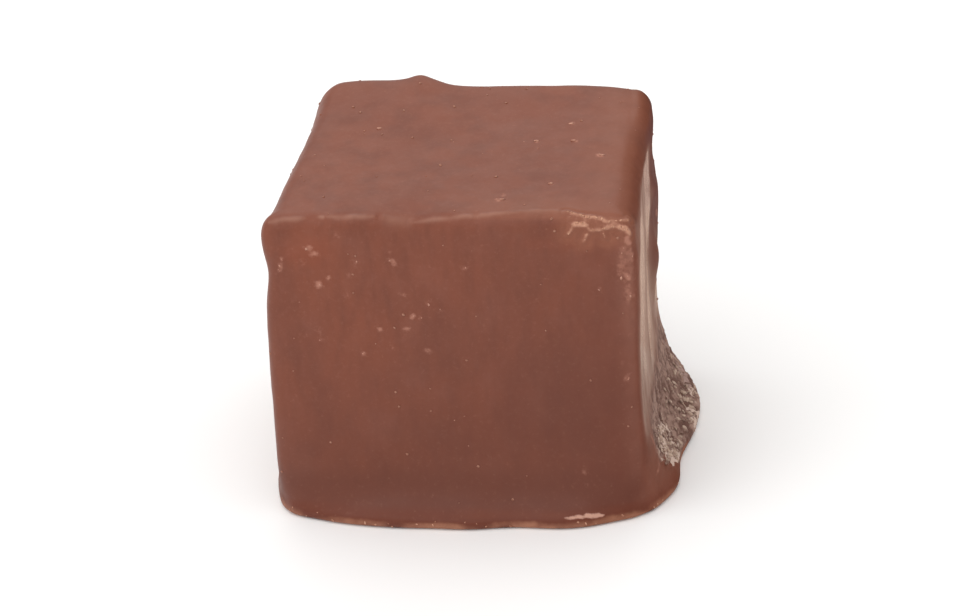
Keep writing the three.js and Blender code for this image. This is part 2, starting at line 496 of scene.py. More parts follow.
CREASE = [
    ([(12.5, -8.2, 5.6), (12.7, -7.6, 4.2), (12.9, -7.2, 3.1)], 0.17, 0.55),
    ([(12.9, -7.3, 3.0), (12.9, -7.8, 2.4), (12.7, -8.7, 2.3)], 0.15, 0.40),
]
print("other marks:", len(BRUISE + STRIP + BLOOM + CREASE))

# %% Lay the marks on the skin
ridge_dots = lay_marks(RIDGE, wander=0.06, wave=0.8, seed=3)
crack_dots = lay_marks(CRACKS, wander=0.10, wave=0.6, seed=9)
bruise_dots = lay_marks(BRUISE, wander=0.15, wave=0.4, seed=20)
bloom_dots = lay_marks(BLOOM, wander=0.12, wave=0.6, seed=5)
strip_dots = lay_marks(STRIP, wander=0.12, wave=0.35, seed=11)
crease_dots = lay_marks(CREASE, wander=0.10, wave=0.7, seed=2)
print("dots:", [len(dots) for dots in (ridge_dots, crack_dots, bruise_dots, crease_dots)])

# %% [markdown]
# ## Scuffs
#
# Where the sweet rubbed against others the coat is bruised: one to six soft pale dots close
# together, some drawn out. The scuffs on the front and top are listed one by one, and the rest are
# strewn over the other walls by seeded dice, so no side is cleaner than another.

# %% The scuffs listed one by one
FRONT_SCUFFS = [
    (-10.2, 22.0, 0.24, 0.80), (-9.8, 21.5, 0.24, 0.70), (-12.4, 20.3, 0.20, 0.60), (-12.1, 20.9, 0.15, 0.60),
    (-12.6, 19.9, 0.16, 0.50), (-9.7, 19.1, 0.24, 0.90), (-9.0, 19.6, 0.13, 0.75), (-4.5, 21.0, 0.18, 0.60),
    (-7.4, 19.7, 0.28, 0.30), (-7.1, 20.8, 0.24, 0.25), (-3.4, 16.6, 0.17, 0.85), (-2.8, 16.5, 0.13, 0.50),
    (-5.6, 15.6, 0.16, 0.75), (-3.8, 15.6, 0.18, 0.75), (-6.9, 13.7, 0.16, 0.75), (-2.4, 13.8, 0.24, 0.45),
    (0.5, 20.5, 0.22, 0.35), (-3.9, 18.2, 0.25, 0.25), (-2.2, 17.6, 0.22, 0.28), (-7.8, 18.1, 0.30, 0.22),
    (7.9, 4.2, 0.25, 0.35), (11.5, 11.4, 0.30, 0.35), (11.2, 12.6, 0.25, 0.25), (-4.7, 21.6, 0.17, 0.35),
    (-4.4, 20.8, 0.20, 0.55), (-8.2, 22.9, 0.22, 0.28), (-10.7, 20.8, 0.24, 0.22), (-10.0, 15.4, 0.26, 0.22),
    (-9.9, 14.7, 0.18, 0.28), (-1.4, 17.1, 0.24, 0.22), (-4.9, 14.3, 0.24, 0.25), (5.6, 17.8, 0.22, 0.22),
    (9.7, 18.6, 0.22, 0.22),
]
TOP_SCUFFS = [
    (2.8, -8.2, 0.22, 0.70), (9.3, -1.8, 0.20, 0.95), (7.3, 0.5, 0.17, 0.90), (3.1, -7.4, 0.18, 0.50),
    (6.9, 3.2, 0.17, 0.85), (4.6, 0.6, 0.17, 0.85), (6.3, -5.8, 0.14, 0.60), (-6.6, 2.2, 0.12, 0.80),
]
print("placed by hand:", len(FRONT_SCUFFS), "on the front and", len(TOP_SCUFFS), "on the top")

# %% Scuff the coat
STREWN_SCUFFS = 34


def drawn_out(place, breadth, paleness, dice):
    """A short mark of that breadth, drawn out a little in any direction."""
    aim = Vector([dice.gauss(0, 1) for _ in range(3)]).normalized() * breadth * dice.uniform(0.5, 2.5)
    return ([place - aim / 2, place, place + aim / 2], breadth, paleness)


def strew_scuffs(count, dice):
    """Scuffs at seeded places on the left, right and back walls."""
    half_x, half_y = width_mm / 2, depth_mm / 2
    marks = []
    for _ in range(count):
        up = dice.uniform(0.25, 0.94) * height_mm
        middle = Vector(dice.choice([
            (-half_x, dice.uniform(-0.7, 0.7) * half_y, up),
            (half_x, dice.uniform(0.3, 0.8) * half_y, up),
            (dice.uniform(-0.8, 0.8) * half_x, half_y, up),
            (dice.uniform(-0.8, 0.8) * half_x, half_y, up),
        ]))
        for _ in range(dice.choice([1, 1, 2, 3, 5])):
            place = middle + Vector([dice.gauss(0, 0.5) for _ in range(3)])
            marks.append(drawn_out(place, dice.uniform(0.12, 0.28), dice.uniform(0.25, 0.85), dice))
    return marks


dice = random.Random(77)
scuffs = []
for across, up, breadth, paleness in FRONT_SCUFFS:
    scuffs.append(drawn_out(Vector((across, -depth_mm / 2, up)), breadth, paleness, dice))
for across, along, breadth, paleness in TOP_SCUFFS:
    scuffs.append(drawn_out(Vector((across, along, height_mm)), breadth, paleness, dice))
scuffs += strew_scuffs(STREWN_SCUFFS, dice)
scuff_dots = lay_marks(scuffs, wander=0.10, wave=0.4, seed=60)
print("scuffs:", len(scuffs), "with", len(scuff_dots), "dots")

# %% [markdown]
# ## Finer cells where the detail is
#
# The ridge and the cracks are only 0.2 mm wide, thinner than one cell. Cutting every cell of the
# coat again would make it far too heavy, so only the cells near the lines, the scuffs and the torn
# flare are cut, once or twice more. Cutting leaves the new points on flat cells, so a light
# smoothing follows each cut.

# %% Helpers to cut cells
SMOOTHINGS = 2


def away_from(places, dots):
    """How far each place is from the nearest of the dots."""
    nearest = KDTree(len(dots))
    for index, dot in enumerate(dots):
        nearest.insert(dot, index)
    nearest.balance()
    return np.array([nearest.find(place)[2] for place in places])


def refine(mesh, wanted):
    """Cuts in four every cell whose middle is wanted, and smooths the cut."""
    cells = bmesh.new()
    cells.from_mesh(mesh)
    middles = np.array([face.calc_center_median() for face in cells.faces]) / MM
    chosen = {face for face, yes in zip(cells.faces, wanted(middles)) if yes}
    edges = [edge for edge in cells.edges if chosen.intersection(edge.link_faces)]
    cut = bmesh.ops.subdivide_edges(cells, edges=edges, cuts=1, use_grid_fill=True)
    fresh = [part for part in cut["geom_inner"] if isinstance(part, bmesh.types.BMVert)]
    all_ways = {"use_axis_x": True, "use_axis_y": True, "use_axis_z": True}
    for _ in range(SMOOTHINGS):
        bmesh.ops.smooth_vert(cells, verts=fresh, factor=0.5, **all_ways)
    cells.to_mesh(mesh)
    cells.free()
    return len(chosen)


print("cells can be cut")

# %% Cut cells where detail needs them
AROUND_LINE = 0.9
ON_LINE = 0.45
AROUND_SCUFF = 0.5
FLARE_LEFT, FLARE_TOP, FLARE_REACH = 12.2, 8.5, 10.5

line_dots = ridge_dots + crack_dots + bruise_dots + crease_dots


def on_flare(places):
    x, y, z = places.T
    return (x > FLARE_LEFT) & (z < FLARE_TOP) & (abs(y) < FLARE_REACH)


def near_detail(places):
    near_line = away_from(places, places_of(line_dots)) < AROUND_LINE
    near_scuff = away_from(places, places_of(scuff_dots)) < AROUND_SCUFF
    return near_line | near_scuff | on_flare(places)


def near_lines(places):
    return away_from(places, places_of(line_dots)) < ON_LINE


first = refine(coat.data, near_detail)
second = refine(coat.data, near_lines)
coat.data.shade_smooth()
print("cells cut:", first, "then", second, "- coat has", len(coat.data.vertices), "points")

# %% [markdown]
# ## Relief: how wet chocolate sets
#
# Relief is a height in millimetres for each point of the skin, added along the point's own
# direction out. Adding up several simple heights is easier to steer than one clever one:
#
# - `broad_waves`: slow swells where the coat is thicker or thinner,
# - `runs`: faint upright runs of the coat down the walls,
# - `top_ridge`: the thin raised line along the top front edge,
# - `cracks`: the split and lifted coat at the right end of that line,
# - `scuff_pits`: small rough dents where pieces rubbed together,
# - `lifted_strip`: the pale strip of coat that lifted off the front of the foot,
# - `foot_scallops`: the uneven rim of the foot,
# - `flare_crust`: the rough, sugary flare where the foot tore off its neighbour on the right,
# - `side_fold`: a thick run that set as an upright fold on the right wall, towards the back,
# - `back_corner`: the edge above that fold, which stands out a little and ends in a small nib,
# - `back_drip`: the last drip, drawn up to a point on the top back edge.
#
# Masks say where on the piece a height applies. They come from the place and the facing of each
# point, so they need no painting, and some are kept on the mesh for the finish to read later.


# %% Read the skin into arrays
def read_points(mesh):
    places = np.empty(len(mesh.vertices) * 3)
    mesh.vertices.foreach_get("co", places)
    facings = np.empty(len(mesh.vertices) * 3)
    mesh.vertex_normals.foreach_get("vector", facings)
    return places.reshape(-1, 3) / MM, facings.reshape(-1, 3)


def write_points(mesh, places):
    mesh.vertices.foreach_set("co", (places * MM).ravel())
    mesh.update()


def lumps(places, size, octaves=3, seed=0):
    """Smooth noise, about -1 to 1, with lumps of that size in millimetres, at each place."""
    shift = Vector((17.3, -9.1, 5.7)) * seed
    return np.array([noise.fractal(Vector(p) / size + shift, 1.0, 2.0, octaves) for p in places])


def rise(values, low, high):
    """0 at low, 1 at high, and a smooth climb between. With low over high it falls instead."""
    share = np.clip((values - low) / (high - low), 0, 1)
    return share * share * (3 - 2 * share)


def beside(distance, width):
    """1 on a line or dot and fading over that width."""
    return np.exp(-((distance / width) ** 2))


places, facings = read_points(coat.data)
x, y, z = places.T
out_x, out_y, out_z = facings.T
print("relief on", len(places), "points")

# %% Where each kind of relief belongs
clear_of_tray = rise(z, 0.15, 1.2)
on_top = rise(out_z, 0.6, 0.95)
foot_low = rise(z, 2.2, 0.8)
right_wall = rise(out_x, 0.70, 0.92)
turned_right = rise(out_x, 0.2, 0.8)
turned_front = rise(-out_y, 0.0, 0.4)

torn_from = 0.9 + 0.6 * rise(y, -4.4, -5.6)
flare = rise(x, 11.6, 12.2) * rise(z, 8.8, 4.0) * rise(y, -8.0, -6.6) * rise(y, 10.5, 8.0)
flare *= 1 - rise(y, -0.5, -2.0) * rise(z, torn_from, torn_from - 0.4)
print("points on the flare:", int((flare > 0.5).sum()))

# %% Where the marks lie
ridge_pale = paleness_at(places, ridge_dots)
cracked = paleness_at(places, crack_dots)
bruised = paleness_at(places, bruise_dots + crease_dots)
scuffed = paleness_at(places, scuff_dots)
bloomed = paleness_at(places, bloom_dots)
lifted = paleness_at(places, strip_dots)
from_ridge = away_from(places, places_of(ridge_dots))
from_cracks = away_from(places, places_of(crack_dots))
print("scuffed points:", int((scuffed > 0.4).sum()))

# %% Heights all over the coat
grit = lumps(places, 0.32, 3, seed=12)
unevenness = lumps(places, 0.9, 2, seed=4)


def broad_waves():
    return 0.05 * lumps(places, 5.0, 2, seed=1) + 0.02 * lumps(places, 1.9, 2, seed=2)


def runs():
    stretched = places * np.array([1.0, 1.0, 0.25])
    return 0.025 * lumps(stretched, 1.5, 2, seed=3) * (1 - on_top)


def foot_scallops():
    along = 0.10 * lumps(places, 2.4, 2, seed=5) + 0.05 * lumps(places, 0.9, 2, seed=6)
    return along * foot_low


print(f"grit from {grit.min():.1f} to {grit.max():.1f}")


# %% Heights of the marks and the flare
def top_ridge():
    thickness = np.clip(0.8 + 0.6 * unevenness, 0.25, 1.2)
    return thickness * (0.08 * beside(from_ridge, 0.22) + 0.05 * beside(from_ridge, 0.7))


def cracks():
    """Lifted coat along each crack, with a shallow groove beside it."""
    thickness = np.clip(0.9 + 1.2 * grit, 0.1, 1.8)
    return 0.10 * thickness * cracked - 0.05 * beside(from_cracks - 0.34, 0.15)


def scuff_pits():
    return (scuffed + bruised) * (0.09 * grit + 0.01)


def lifted_strip():
    return 0.07 * lifted * np.clip(1 + 0.8 * grit, 0.3, 1.6)


def flare_crust():
    return flare ** 2 * (0.09 * unevenness + 0.13 * grit + 0.03)


print(f"the ridge stands {top_ridge().max():.2f} mm proud")

# %% Heights of the fold, the corner above it and the drip
FOLD_PLACE = 4.6
FOLD_WIDTH = 1.25
FOLD_SLANT = 0.57
FOLD_BEADS = [(18.2, 0.8, 0.36), (12.8, 2.1, 0.56), (10.0, 1.4, 0.12)]
NIB_PLACE = (12.3, 9.2, 22.8)
DRIP_PLACE = (-4.5, 9.9, 24.6)

up = z + FOLD_SLANT * (y - 4)


def away_from_place(place):
    return np.linalg.norm(places - np.array(place), axis=1)


def side_fold():
    """Beads of a thick run, each with its height up the wall, its reach and its thickness."""
    across = beside(y - FOLD_PLACE, FOLD_WIDTH)
    beads = [thick * beside(up - middle, reach) for middle, reach, thick in FOLD_BEADS]
    hollow = 0.08 * rise(y, 1.0, 3.0) * rise(up, 18.7, 19.6) * rise(z, 23.5, 22.0)
    return rise(x, 10.5, 11.8) * (across * sum(beads) - hollow)


def back_corner():
    """The edge above the fold stands out a little, with a small nib at its far end."""
    edge = rise(out_x, 0.15, 0.6) * rise(y, 1.0, 5.0) * rise(z, 20.5, 22.5) * rise(y, 12.5, 11.0)
    return 0.16 * edge + 0.14 * beside(away_from_place(NIB_PLACE), 0.7)


def back_drip():
    return 0.26 * beside(away_from_place(DRIP_PLACE), 0.8)


print("fold beads:", len(FOLD_BEADS))

# %% Sum the heights and move the skin
height = broad_waves() + runs() + top_ridge() + cracks() + scuff_pits()
height += lifted_strip() + foot_scallops() + flare_crust()
height += side_fold() + back_corner() + back_drip()
height *= clear_of_tray
places = places + facings * height[:, None]
places[:, 2] = np.maximum(places[:, 2], 0)
write_points(coat.data, places)
skin = skin_of(coat.data)
print(f"relief from {height.min():.2f} to {height.max():.2f} mm")

# %% [markdown]
# ## Masks for the finish
#
# The finish changes over the piece: a smoother streak on the right wall with a painted reflection,
# painted shade low down and towards the right, pale flakes on the flare. Each such place is a mask
# from 0 to 1, worked out from the same arrays as the relief and kept on the skin under a name that
# the shader reads. A mask could be painted or be an image instead, but a formula can be corrected
# by one number.

# %% The smooth streak with its painted reflection, and the painted plum shade behind it
STREAK_FRONT = -9.9
STREAK_BACK = 2.4

# The streak is smoother, and its paler tan with darker stripes is a painted reflection.
streak_back = STREAK_BACK + 6.0 * rise(z, 13.0, 8.0) + 0.4 * unevenness
streak_back += 1.0 * lumps(places * np.array([0.2, 0.2, 1.0]), 4.0, 2, seed=27)
streak_front = STREAK_FRONT + 1.5 * rise(z, 19.0, 21.3) + 3.5 * rise(z, 21.3, 22.6)
sheen_streak = right_wall * rise(y, streak_front - 0.3, streak_front + 0.4)
sheen_streak *= rise(y, streak_back + 1.2, streak_back - 1.2)
sheen_streak *= rise(z, 4.8, 7.2) * rise(out_z, 0.18, 0.02)
sheen_streak *= 1 - 0.45 * beside(y + 3.9, 1.4) * rise(z, 6.5, 8.5)
streak_tone = 0.5 + 0.9 * lumps(places * np.array([0.3, 1, 0.10]), 3.2, 2, seed=24)

# side paints the back of the right wall plum: a painted shade for the dark that this wall mirrors.
side = rise(out_x, 0.80, 0.95) * rise(y, 1.0, 4.0) * (1 - sheen_streak) * rise(z, 2, 6)
side *= 0.30 + 0.70 * rise(up, 13.5, 16.5)
print("points in the streak:", int((sheen_streak > 0.5).sum()))

# %% The flare, its pale flakes and the painted sheen above it
# Painted sheen: the wall above the flare is painted a paler grey where it catches a grazing sheen.
sheen_haze = right_wall * rise(y, -1.0, 5.0) * rise(y, 11.0, 8.5) * rise(z, 13.0, 7.5) * rise(z, 2.5, 5.0)
sheen_haze *= np.clip(0.8 + 0.9 * lumps(places, 1.8, 3, seed=31), 0.2, 1)
cluster = beside(y + 4.8, 2.3) * rise(z, 0.6, 1.0) * rise(z, 4.8, 2.8)
outer_rim = rise(y, -1.0, 0.8) * rise(y, 6.5, 4.5) * rise(x, 13.7, 14.5)
outer_rim *= np.clip(0.72 + 1.2 * lumps(places, 0.6, 2, seed=9), 0, 1)
dusty = flare * (1 - 0.8 * rise(y, -4.4, -6.0) * rise(z, 2.8, 2.0))
print("points in the haze:", int((sheen_haze > 0.3).sum()))

# %% Painted shade low down and to the right, and redder and warmer places
DARK_MIDDLE = (9.5, 12.0)

dark_patch = np.exp(-(((x - DARK_MIDDLE[0]) / 5) ** 2) - ((z - DARK_MIDDLE[1]) / 6) ** 2)
# Painted shade: the walls darken towards the bottom, towards the right and in a patch low on the right, less
# where they turn right.
painted_shade = 0.64 * rise(z, 21, 2) + 0.25 * rise(x, -8, 12) + 0.35 * dark_patch
painted_shade *= 1 - (0.4 + 0.4 * rise(z, 6, 3.5)) * turned_right
ruddy = beside(x + 10.2, 2.4) * beside(z - 21.6, 1.5) + 0.7 * rise(x, 1.5, 6) * beside(z - 22.3, 0.9)
warm_edges = np.maximum(0.8 * rise(x, 6.5, 11.0), rise(x, -3, 6) * rise(y, -6.0, -9.5))
# Painted shade: a darker band low on the walls just above the foot, with little of it on the right.
painted_foot_shade = rise(z, 4.8, 2.8) * (0.8 + 0.2 * rise(z, 1.0, 1.7)) * (1 - 0.9 * turned_right)
# Painted shade: the rounded right edge of the top is darkened, for the dim right side it would mirror.
painted_edge_shade = rise(out_x, 0.05, 0.35) * rise(out_z, 0.0, 0.2) * rise(-out_y, 0.5, 0.2)
print("points in the foot band:", int((painted_foot_shade > 0.3).sum()))

# %% The highlit front right edge and the thin rim of the foot
# Painted highlight: the front right edge is paler where its thin edge catches light; the foot below the flare
# is a little paler.
corner_highlight = beside(x - 11.8, 0.8) * rise(-out_y, 0.5, 0.9) * (0.55 + 0.45 * rise(z, 14, 17))
corner_highlight *= rise(z, 1.5, 4.0) * rise(z, 23.6, 22.4)
below_flare = turned_right * rise(y, -4.5, -6.0) * rise(z, 4.5, 3.5) * rise(z, 0.5, 1.3)
corner_highlight = np.maximum(corner_highlight, 0.4 * below_flare)

thinness = np.clip(0.74 + 1.1 * lumps(places, 3.0, 3, seed=14) + 0.2 * rise(-out_y, 0.2, 0.6), 0.1, 1)
thinness = np.maximum(thinness, 0.9 * beside(x - 8.8, 3.0) * turned_front)
thinness *= 1 - 0.2 * rise(x, 2, -6) * turned_front
print("points on the worn corner:", int((corner_highlight > 0.3).sum()))


# %% Keep the masks on the skin
def keep_mask(mesh, name, values):
    layer = mesh.attributes.new(name, "FLOAT", "POINT")
    layer.data.foreach_set("value", np.clip(values, 0, 1).astype(np.float32))


masks = {
    # The pale pink line along the raised top front ridge is a painted highlight.
    "ridge_highlight": ridge_pale * np.clip(0.9 + 0.5 * unevenness, 0.3, 1),
    "cracked": cracked,
    "near_cracks": beside(from_cracks, 0.9) * (1 - 0.6 * on_top),
    "warm_top": warm_edges * rise(out_z, 0.6, 0.9),
    "corner_highlight": corner_highlight * np.clip(0.9 + 0.6 * unevenness, 0.4, 1),
    "scuffed": np.maximum(scuffed, bruised),
    "ruddy": ruddy * rise(-out_y, 0.3, 0.8),
    "flare": dusty,
    "flare_pale": flare * np.maximum(cluster, outer_rim),
    "sheen_haze": sheen_haze,
    "lifted": lifted,
    "bloom": bloomed * rise(flare, 0.1, 0.4),
    "rim": rise(z, 1.3, 0.2) * rise(out_z, 0.7, 0.05) * thinness,
    "painted_foot_shade": painted_foot_shade,
    "sheen_streak": sheen_streak,
    "streak_tone": streak_tone,
    "painted_low_shade": painted_shade * (1 - on_top),
    "side": side,
    # The lowest millimetre is painted darker and redder: a painted shade over the lip's upturned face.
    "painted_lip_shade": rise(z, 1.7, 1.0),
    "painted_edge_shade": painted_edge_shade,
    "walls": 1 - on_top,
}
for name, values in masks.items():
    keep_mask(coat.data, name, values)
print("masks kept:", len(masks))

# %% [markdown]
# ## The finish of milk chocolate
#
# Set milk chocolate is a dull brown with a soft sheen. Seen close it is never one colour: the
# coat is thin over some places and thick over others, cocoa butter rises in faint cloudy patches,
# and a thin edge looks paler and more orange because light gets through it.
#
# The tree below mixes a few browns by slow and fast noise, then lays the masks on top, one shade
# over another: painted shade on the lower walls, the foot and the lip, the streak with its painted
# reflection and the painted plum shade behind it, painted shade on the rounded right edge, warm
# edges, painted highlights on the top front ridge and the front right edge, scuffs, cracks, the pale
# rim of the foot and the dusty flare with a painted sheen above it. Where a mask alone would be a
# soft blot, noise is added to it before it is cut to a ramp, so the blot breaks up into flakes.
# Roughness follows the same patterns.

# %% Colours of the chocolate
BROWN_MID = colour(0.190, 0.054, 0.029)
BROWN_RED = colour(0.207, 0.057, 0.029)
BROWN_RUDDY = colour(0.270, 0.062, 0.025)
BROWN_DARK = colour(0.120, 0.034, 0.020)
BROWN_CLOUDY = colour(0.25, 0.095, 0.066)
EDGE_SHADE_OLIVE = colour(0.125, 0.040, 0.018)
LIP_SHADE_BROWN = colour(0.135, 0.024, 0.007)
PLUM_SHADE = colour(0.110, 0.030, 0.028)
HIGHLIGHT_PINK = colour(0.36, 0.180, 0.128)
SCUFF_PINK = colour(0.45, 0.205, 0.145)
CRACK_TAN = colour(0.52, 0.258, 0.170)
NEAR_CRACK = colour(0.29, 0.105, 0.058)
RIM_TAN = colour(0.43, 0.190, 0.110)
STRIP_PINK = colour(0.57, 0.315, 0.235)
REFLECTION_TAN = colour(0.225, 0.092, 0.062)
REFLECTION_DARK = colour(0.135, 0.050, 0.031)
MAUVE = colour(0.36, 0.230, 0.183)
MAUVE_DARK = colour(0.150, 0.078, 0.060)
MAUVE_PINK = colour(0.46, 0.310, 0.275)
SHEEN_HAZE_GREY = colour(0.33, 0.205, 0.170)
FLAKE_PALE = colour(0.70, 0.530, 0.440)
COCOA_IOR = 1.46
print("darkest brown", BROWN_DARK[:3], "- palest flake", FLAKE_PALE[:3])


# %% Helpers to lay one shade over another
def times(tree, a, b):
    return calculate(tree, "MULTIPLY", a, b)


def laid_over(tree, below, mask, share, shade):
    """A shade laid over a colour by that share of a mask."""
    return mix_colour(tree, times(tree, mask, share), below, shade)


def flaky(tree, mask, size_mm, start, end, shift, stretch=(1, 1, 1)):
    """A mask broken into flakes about size_mm across."""
    pattern = grains(tree, size_mm, detail=4, roughness=0.6, shift=shift, stretch=stretch)
    return ramp(tree, calculate(tree, "ADD", mask, pattern), start, end)


def patches(tree, size_mm, shift):
    """A number from 0 to 1 that is the same all over each small angular patch."""
    place = node(tree, "ShaderNodeTexCoord").outputs["Object"]
    mapping = node(tree, "ShaderNodeMapping", {"Vector": place})
    mapping.inputs["Location"].default_value = tuple(s * MM for s in shift)
    spots = node(tree, "ShaderNodeTexVoronoi", {"Vector": mapping.outputs[0], "Scale": 1 / (size_mm * MM)})
    return node(tree, "ShaderNodeSeparateColor", {0: spots.outputs["Color"]}).outputs[0]


print("shades can be laid")

# %% The brown of the coat
# Painted shade laid by place: the rounded right edge, the lower walls, the band above the foot and the lip.
PLACE_SHADES = [
    ("painted_edge_shade", 0.10, EDGE_SHADE_OLIVE),
    ("painted_low_shade", 0.75, BROWN_DARK),
    ("painted_foot_shade", 0.55, BROWN_DARK),
    ("painted_lip_shade", 0.40, LIP_SHADE_BROWN),
]


def body_colour(tree):
    slow = ramp(tree, grains(tree, 6.0, detail=2), 0.35, 0.68)
    runs_down = ramp(tree, grains(tree, 2.2, detail=3, stretch=(1, 1, 2.6), shift=(31, 7, 3)), 0.40, 0.72)
    clouds = ramp(tree, grains(tree, 3.0, detail=3, shift=(5, 50, 9)), 0.48, 0.80)
    cloudiness = ramp(tree, read_mask(tree, "walls"), 0, 1, 0.14, 0.26)
    smears = ramp(tree, grains(tree, 0.55, detail=3, stretch=(1, 1, 4), shift=(8, 2, 60)), 0.42, 0.75)
    dust = ramp(tree, grains(tree, 0.38, detail=5, roughness=0.65, shift=(70, 3, 8)), 0.45, 0.75)
    brown = mix_colour(tree, slow, BROWN_MID, BROWN_RED)
    brown = laid_over(tree, brown, runs_down, 0.35, BROWN_DARK)
    brown = laid_over(tree, brown, clouds, cloudiness, BROWN_CLOUDY)
    smears_on_walls = times(tree, smears, read_mask(tree, "walls"))
    brown = laid_over(tree, brown, smears_on_walls, 0.24, BROWN_DARK)
    brown = laid_over(tree, brown, dust, 0.20, BROWN_CLOUDY)
    ruddy = flaky(tree, read_mask(tree, "ruddy"), 1.6, 0.70, 1.50, (12, 5, 8))
    brown = laid_over(tree, brown, ruddy, 0.26, BROWN_RUDDY)
    for mask, share, shade in PLACE_SHADES:
        brown = laid_over(tree, brown, read_mask(tree, mask), share, shade)
    return brown


print("shades laid by place:", len(PLACE_SHADES))

# %% [markdown]
# ### The right wall and its streak
#
# The right wall is seen nearly edge-on, so it mirrors far more than the front does. Its front part
# set smoothest and shows as an upright pale streak with darker stripes. Most of the streak's
# paleness is mirrored from the tan cards. The rest is a painted reflection: a paler tan with darker
# upright stripes, only a little paler than the coat. A streak painted as pale as it looks would be
# wrong from the side. Behind the streak the wall is painted plum, a painted shade for the dark that
# it mirrors.


# %% The shades of the right wall
def side_colour(tree, brown):
    """The right wall: painted plum shade behind, and a pale band of painted reflection with upright stripes.
    """
    brown = laid_over(tree, brown, read_mask(tree, "side"), 0.6, PLUM_SHADE)
    fine = grains(tree, 0.9, detail=3, stretch=(1, 1, 14), shift=(4, 4, 4))
    stripes = ramp(tree, calculate(tree, "ADD", read_mask(tree, "streak_tone"), fine), 0.50, 1.40)
    striped = mix_colour(tree, stripes, REFLECTION_DARK, REFLECTION_TAN)
    return laid_over(tree, brown, read_mask(tree, "sheen_streak"), 0.48, striped), stripes


print("streak ready")

# %% [markdown]
# ### Marks and worn places
#
# Where the coat is rubbed it turns paler and pinker, and where it is split the broken edge is tan.
# The pale pink line along the top front ridge and the paler front right edge are painted highlights.
# A material of its own for each mark would leave hard borders. Laid over the brown as masks they
# blend, and two tables keep their shades and shares side by side. Soft marks are laid as they are,
# and flaky ones are broken up by noise first.

# %% The shades of marks and worn places
SOFT_MARKS = [
    ("warm_top", 0.28, NEAR_CRACK),
    ("corner_highlight", 0.18, SCUFF_PINK),
    ("ridge_highlight", 0.75, HIGHLIGHT_PINK),
]
# Each has its mask, the size of its flakes, where the ramp starts and ends, the shift of the noise,
# and then its share and shade.
FLAKY_MARKS = [
    ("near_cracks", 1.1, 0.50, 1.50, (2, 2, 9), 0.45, NEAR_CRACK),
    ("scuffed", 0.30, 0.55, 1.35, (3, 9, 1), 0.75, SCUFF_PINK),
    ("cracked", 0.35, 0.60, 1.35, (5, 1, 7), 0.95, CRACK_TAN),
    ("rim", 1.0, 0.70, 1.65, (3, 3, 3), 0.72, RIM_TAN),
    ("lifted", 0.5, 0.80, 1.30, (6, 3, 3), 0.90, STRIP_PINK),
]


def marked_colour(tree, brown):
    """The brown with its marks, and the flaky mask of each mark."""
    for mask, share, shade in SOFT_MARKS:
        brown = laid_over(tree, brown, read_mask(tree, mask), share, shade)
    broken = {}
    for mask, size_mm, start, end, shift, share, shade in FLAKY_MARKS:
        broken[mask] = flaky(tree, read_mask(tree, mask), size_mm, start, end, shift)
        brown = laid_over(tree, brown, broken[mask], share, shade)
    return brown, broken


print("marks:", len(SOFT_MARKS), "soft and", len(FLAKY_MARKS), "flaky")

# %% [markdown]
# ### The dusty flare
#
# Where the foot was torn off its neighbour it is dull, mauve-grey and speckled, with pale flakes at
# its front end and along its outer rim. The wall above it is painted a paler grey haze: a painted
# sheen, where that wall catches the light at a grazing angle. Thousands of flakes that small would
# be too heavy as meshes, so most are noise in the finish, and only the crumbs that stand out are
# laid later as real lumps.


# %% The shades of the flare
def pale_flakes(tree):
    """Flakes in soft lumps and small patches, thickest where the mask is strong."""
    slow = grains(tree, 0.8, detail=2, shift=(9, 1, 4))
    chunks = times(tree, calculate(tree, "ADD", slow, patches(tree, 0.45, (2, 0, 0))), 0.5)
    masked = times(tree, read_mask(tree, "flare_pale"), 0.65)
    return ramp(tree, calculate(tree, "ADD", chunks, masked), 0.87, 1.06)


def flare_colour(tree, brown, dusted):
    """The torn flare: dull mauve with dark specks and pale flakes over it, and a painted sheen on the wall
    above.
    """
    pale = pale_flakes(tree)
    sheen_haze = flaky(tree, read_mask(tree, "sheen_haze"), 1.2, 0.75, 1.45, (3, 7, 2), stretch=(1, 1, 2))
    brown = laid_over(tree, brown, sheen_haze, 0.60, SHEEN_HAZE_GREY)
    specks = ramp(tree, grains(tree, 0.9, detail=4, roughness=0.65, shift=(6, 1, 5)), 0.40, 0.62)
    mottled = mix_colour(tree, specks, MAUVE_DARK, MAUVE)
    brown = laid_over(tree, brown, dusted, 0.9, mottled)
    bloom = flaky(tree, read_mask(tree, "bloom"), 0.7, 0.78, 1.30, (8, 8, 1))
    brown = laid_over(tree, brown, bloom, 0.7, MAUVE_PINK)
    return laid_over(tree, brown, pale, 0.85, FLAKE_PALE)


print("flare shades ready")

# %% [markdown]
# ### Sheen and fine relief
#
# Set chocolate has an even soft sheen. Dusty and scuffed places are duller, and the streak is
# smoother. Pits and ripples finer than a cell of the skin are made as bump, because cells that
# small would be too heavy.


# %% Sheen and bump
def sheen(tree, dusted, scuffs, stripes):
    """Roughness: even over the coat, duller where it is dusty or scuffed, smoother in the streak."""
    gloss = ramp(tree, grains(tree, 1.6, detail=3, shift=(2, 6, 40)), 0.3, 0.7, 0.44, 0.50)
    dull = calculate(tree, "MAXIMUM", times(tree, dusted, 0.35), times(tree, scuffs, 0.2))
    dull = calculate(tree, "MAXIMUM", dull, times(tree, read_mask(tree, "side"), 0.25))
    glossy_share = ramp(tree, stripes, 0, 1, -0.08, -0.24)
    smoothed = times(tree, read_mask(tree, "sheen_streak"), glossy_share)
    return calculate(tree, "ADD", calculate(tree, "ADD", gloss, dull), smoothed, limit=True)


